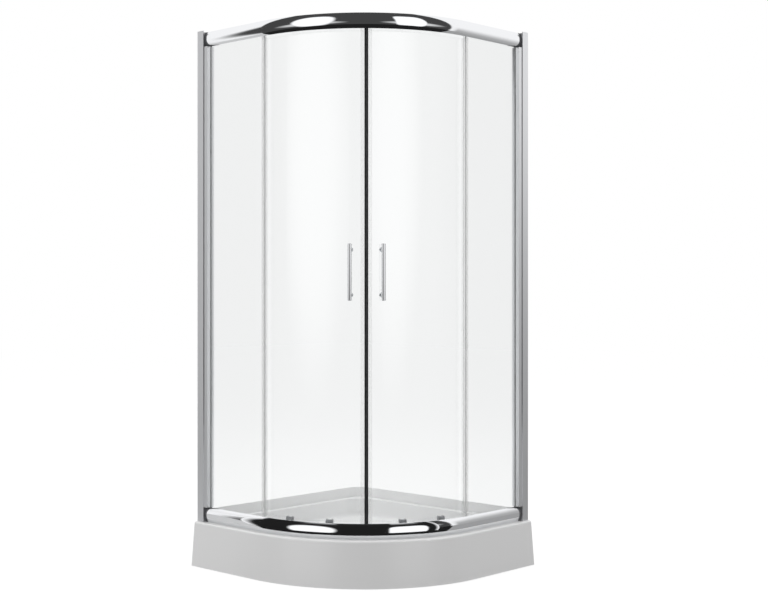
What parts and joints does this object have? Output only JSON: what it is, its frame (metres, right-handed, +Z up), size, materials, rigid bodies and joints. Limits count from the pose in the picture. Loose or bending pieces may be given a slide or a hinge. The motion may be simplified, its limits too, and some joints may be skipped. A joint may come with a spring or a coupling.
{
  "type": "quadrant shower enclosure",
  "caption": "Corner shower enclosure with a curved front of fixed and sliding clear glass between chrome rails, on a low white tray.",
  "frame": {"origin": "centre of the footprint, on the floor", "axes": "+Z up; the room's corner is at -X +Y, the back wall along +Y, the left wall along -X, and the curved front faces +X -Y"},
  "size_m": [0.915, 0.915, 2.015],
  "materials": {
    "acrylic": "white glossy sanitary acrylic",
    "board": "raw chipboard",
    "steel": "zinc-plated steel",
    "rubber": "matt black rubber",
    "trap_plastic": "white polypropylene",
    "chrome": "bright chrome",
    "satin_aluminium": "bright anodised, faintly brushed lengthwise",
    "dark_plastic": "dark grey moulded plastic",
    "roller_plastic": "mid-grey moulded plastic",
    "cap_plastic": "grey moulded plastic",
    "nylon": "smooth nylon",
    "clear_glass": "clear toughened safety glass with polished edges",
    "clear_pvc": "clear flexible plastic",
    "magnet_rubber": "dark flexible magnetic strip"
  },
  "bodies": {
    "root": {"tray_shell": "acrylic", "tray_base_panel": "board", "foot_brackets": "steel", "foot_studs": "steel", "foot_nuts": "steel", "foot_pads": "trap_plastic", "waste_body": "trap_plastic", "waste_gasket": "rubber", "waste_flange": "chrome", "wall_profile_left": "satin_aluminium", "wall_profile_right": "satin_aluminium", "jamb_left": "satin_aluminium", "jamb_right": "satin_aluminium", "glazing_gaskets": "clear_pvc", "jamb_screws": "steel", "jamb_screw_caps": "cap_plastic", "top_rail": "chrome", "bottom_rail": "chrome", "rail_connector_top_left": "dark_plastic", "rail_connector_top_right": "dark_plastic", "rail_connector_bottom_left": "dark_plastic", "rail_connector_bottom_right": "dark_plastic", "rail_stops": "rubber", "fixed_glass_left": "clear_glass", "fixed_glass_right": "clear_glass", "fixed_edge_seal_left": "clear_pvc", "fixed_edge_seal_right": "clear_pvc"},
    "drain_insert": {"drain_cover": "chrome", "waste_cup": "trap_plastic"},
    "door_left": {"door_glass_left": "clear_glass", "magnet_strip_left": "magnet_rubber", "magnet_carrier_left": "clear_pvc", "door_edge_seal_left": "clear_pvc", "handle_left": "chrome", "handle_fittings_left": "chrome", "top_roller_blocks_left": "roller_plastic", "top_roller_axles_left": "steel", "bottom_roller_blocks_left": "roller_plastic"},
    "door_right": {"door_glass_right": "clear_glass", "magnet_strip_right": "magnet_rubber", "magnet_carrier_right": "clear_pvc", "door_edge_seal_right": "clear_pvc", "handle_right": "chrome", "handle_fittings_right": "chrome", "top_roller_blocks_right": "roller_plastic", "top_roller_axles_right": "steel", "bottom_roller_blocks_right": "roller_plastic"},
    "top_wheel_inner_left": {"top_wheel_inner_left": "nylon"},
    "release_slide_inner_left": {"release_slide_inner_left": "roller_plastic"},
    "bottom_wheel_inner_left": {"bottom_wheel_inner_left": "nylon"},
    "top_wheel_outer_left": {"top_wheel_outer_left": "nylon"},
    "release_slide_outer_left": {"release_slide_outer_left": "roller_plastic"},
    "bottom_wheel_outer_left": {"bottom_wheel_outer_left": "nylon"},
    "top_wheel_inner_right": {"top_wheel_inner_right": "nylon"},
    "release_slide_inner_right": {"release_slide_inner_right": "roller_plastic"},
    "bottom_wheel_inner_right": {"bottom_wheel_inner_right": "nylon"},
    "top_wheel_outer_right": {"top_wheel_outer_right": "nylon"},
    "release_slide_outer_right": {"release_slide_outer_right": "roller_plastic"},
    "bottom_wheel_outer_right": {"bottom_wheel_outer_right": "nylon"}
  },
  "joints": [
    {"name": "open_left_door", "type": "hinge", "parent": "root", "child": "door_left", "pos_m": [-0.14839, 0.274, 0.165], "axis": [0, 0, -1], "range_deg": [0, 21.3]},
    {"name": "open_right_door", "type": "hinge", "parent": "root", "child": "door_right", "pos_m": [-0.274, 0.14839, 0.165], "axis": [0, 0, 1], "range_deg": [0, 21.3]},
    {"name": "top_wheel_inner_left_turn", "type": "hinge", "parent": "door_left", "child": "top_wheel_inner_left", "pos_m": [0.1461, -0.34073, 1.9833], "axis": [0.4924, -0.8704, 0], "continuous": true},
    {"name": "release_slide_inner_left_press", "type": "slide", "parent": "door_left", "child": "release_slide_inner_left", "axis": [0, 0, -1], "range_m": [0, 0.008], "stiffness_N_per_m": 1200, "springref_m": -0.004},
    {"name": "bottom_wheel_inner_left_turn", "type": "hinge", "parent": "release_slide_inner_left", "child": "bottom_wheel_inner_left", "pos_m": [0.1461, -0.34073, 0.1917], "axis": [0.4924, -0.8704, 0], "continuous": true},
    {"name": "top_wheel_outer_left_turn", "type": "hinge", "parent": "door_left", "child": "top_wheel_outer_left", "pos_m": [-0.00923, -0.39804, 1.9833], "axis": [0.1908, -0.9816, 0], "continuous": true},
    {"name": "release_slide_outer_left_press", "type": "slide", "parent": "door_left", "child": "release_slide_outer_left", "axis": [0, 0, -1], "range_m": [0, 0.008], "stiffness_N_per_m": 1200, "springref_m": -0.004},
    {"name": "bottom_wheel_outer_left_turn", "type": "hinge", "parent": "release_slide_outer_left", "child": "bottom_wheel_outer_left", "pos_m": [-0.00923, -0.39804, 0.1917], "axis": [0.1908, -0.9816, 0], "continuous": true},
    {"name": "top_wheel_inner_right_turn", "type": "hinge", "parent": "door_right", "child": "top_wheel_inner_right", "pos_m": [0.34073, -0.1461, 1.9833], "axis": [0.8704, -0.4924, 0], "continuous": true},
    {"name": "release_slide_inner_right_press", "type": "slide", "parent": "door_right", "child": "release_slide_inner_right", "axis": [0, 0, -1], "range_m": [0, 0.008], "stiffness_N_per_m": 1200, "springref_m": -0.004},
    {"name": "bottom_wheel_inner_right_turn", "type": "hinge", "parent": "release_slide_inner_right", "child": "bottom_wheel_inner_right", "pos_m": [0.34073, -0.1461, 0.1917], "axis": [0.8704, -0.4924, 0], "continuous": true},
    {"name": "top_wheel_outer_right_turn", "type": "hinge", "parent": "door_right", "child": "top_wheel_outer_right", "pos_m": [0.39804, 0.00923, 1.9833], "axis": [0.9816, -0.1908, 0], "continuous": true},
    {"name": "release_slide_outer_right_press", "type": "slide", "parent": "door_right", "child": "release_slide_outer_right", "axis": [0, 0, -1], "range_m": [0, 0.008], "stiffness_N_per_m": 1200, "springref_m": -0.004},
    {"name": "bottom_wheel_outer_right_turn", "type": "hinge", "parent": "release_slide_outer_right", "child": "bottom_wheel_outer_right", "pos_m": [0.39804, 0.00923, 0.1917], "axis": [0.9816, -0.1908, 0], "continuous": true},
    {"name": "lift_drain_insert", "type": "slide", "parent": "root", "child": "drain_insert", "axis": [0, 0, 1], "range_m": [0, 0.09]}
  ],
  "couplings": [
    {"joint": "top_wheel_inner_left_turn", "follows": "open_left_door", "ratio": 61.823},
    {"joint": "bottom_wheel_inner_left_turn", "follows": "open_left_door", "ratio": -61.823},
    {"joint": "top_wheel_outer_left_turn", "follows": "open_left_door", "ratio": 62.386},
    {"joint": "bottom_wheel_outer_left_turn", "follows": "open_left_door", "ratio": -62.386},
    {"joint": "top_wheel_inner_right_turn", "follows": "open_right_door", "ratio": -61.823},
    {"joint": "bottom_wheel_inner_right_turn", "follows": "open_right_door", "ratio": 61.823},
    {"joint": "top_wheel_outer_right_turn", "follows": "open_right_door", "ratio": -62.386},
    {"joint": "bottom_wheel_outer_right_turn", "follows": "open_right_door", "ratio": 62.386}
  ]
}
